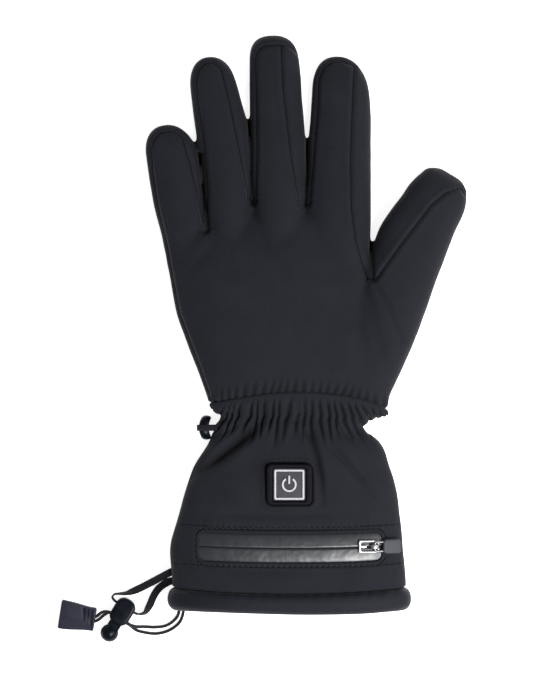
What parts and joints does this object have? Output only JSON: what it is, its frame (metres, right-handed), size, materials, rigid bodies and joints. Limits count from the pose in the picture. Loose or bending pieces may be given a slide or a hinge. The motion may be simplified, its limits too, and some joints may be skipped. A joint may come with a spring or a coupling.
{
  "type": "heated glove",
  "caption": "Left-hand heated gauntlet glove lying flat, with gathered wrist, switch badge, zipped battery pocket, wrist clip and a drawcord with cord lock.",
  "frame": {"origin": "middle of the glove's box on the surface it lies on, its cords left out", "axes": "+Y to the fingertips, +X to the thumb, +Z out of the back of the hand"},
  "size_m": [0.2167, 0.3216, 0.0304],
  "materials": {
    "softshell": "matte",
    "hem_fabric": "matte",
    "rubber": "satin",
    "switch_face": "matte",
    "switch_print": "gloss",
    "zip_tape": "gloss",
    "zip_metal": "satin",
    "pull_rubber": "matte",
    "plastic": "satin",
    "webbing": "matte",
    "elastic": "matte"
  },
  "bodies": {
    "glove": {"hand": "softshell", "gauntlet": "softshell", "hem_roll": "hem_fabric", "badge_surround": "rubber", "badge_plate": "switch_face", "badge_frame": "switch_print", "badge_mark_ring": "switch_print", "badge_mark_bar": "switch_print", "zip_tape_upper": "zip_tape", "zip_tape_lower": "zip_tape", "zip_slider": "zip_metal", "wrist_clip": "plastic", "clip_strap": "webbing", "lock_loop": "webbing", "cord_lock": "plastic", "drawcord_inner": "elastic", "drawcord_outer": "elastic", "cord_pull": "pull_rubber"},
    "puller": {"zip_puller": "zip_metal", "pull_tab": "pull_rubber"},
    "button": {"lock_button": "plastic"}
  },
  "joints": [
    {"name": "puller_flip", "type": "hinge", "parent": "glove", "child": "puller", "pos_m": [0.03564, -0.11665, 0.02539], "axis": [0, -1, 0], "range_deg": [0, 165]},
    {"name": "lock_press", "type": "slide", "parent": "glove", "child": "button", "axis": [0.5255, 0.8508, 0], "range_m": [0, 0.0025], "stiffness_N_per_m": 600}
  ]
}
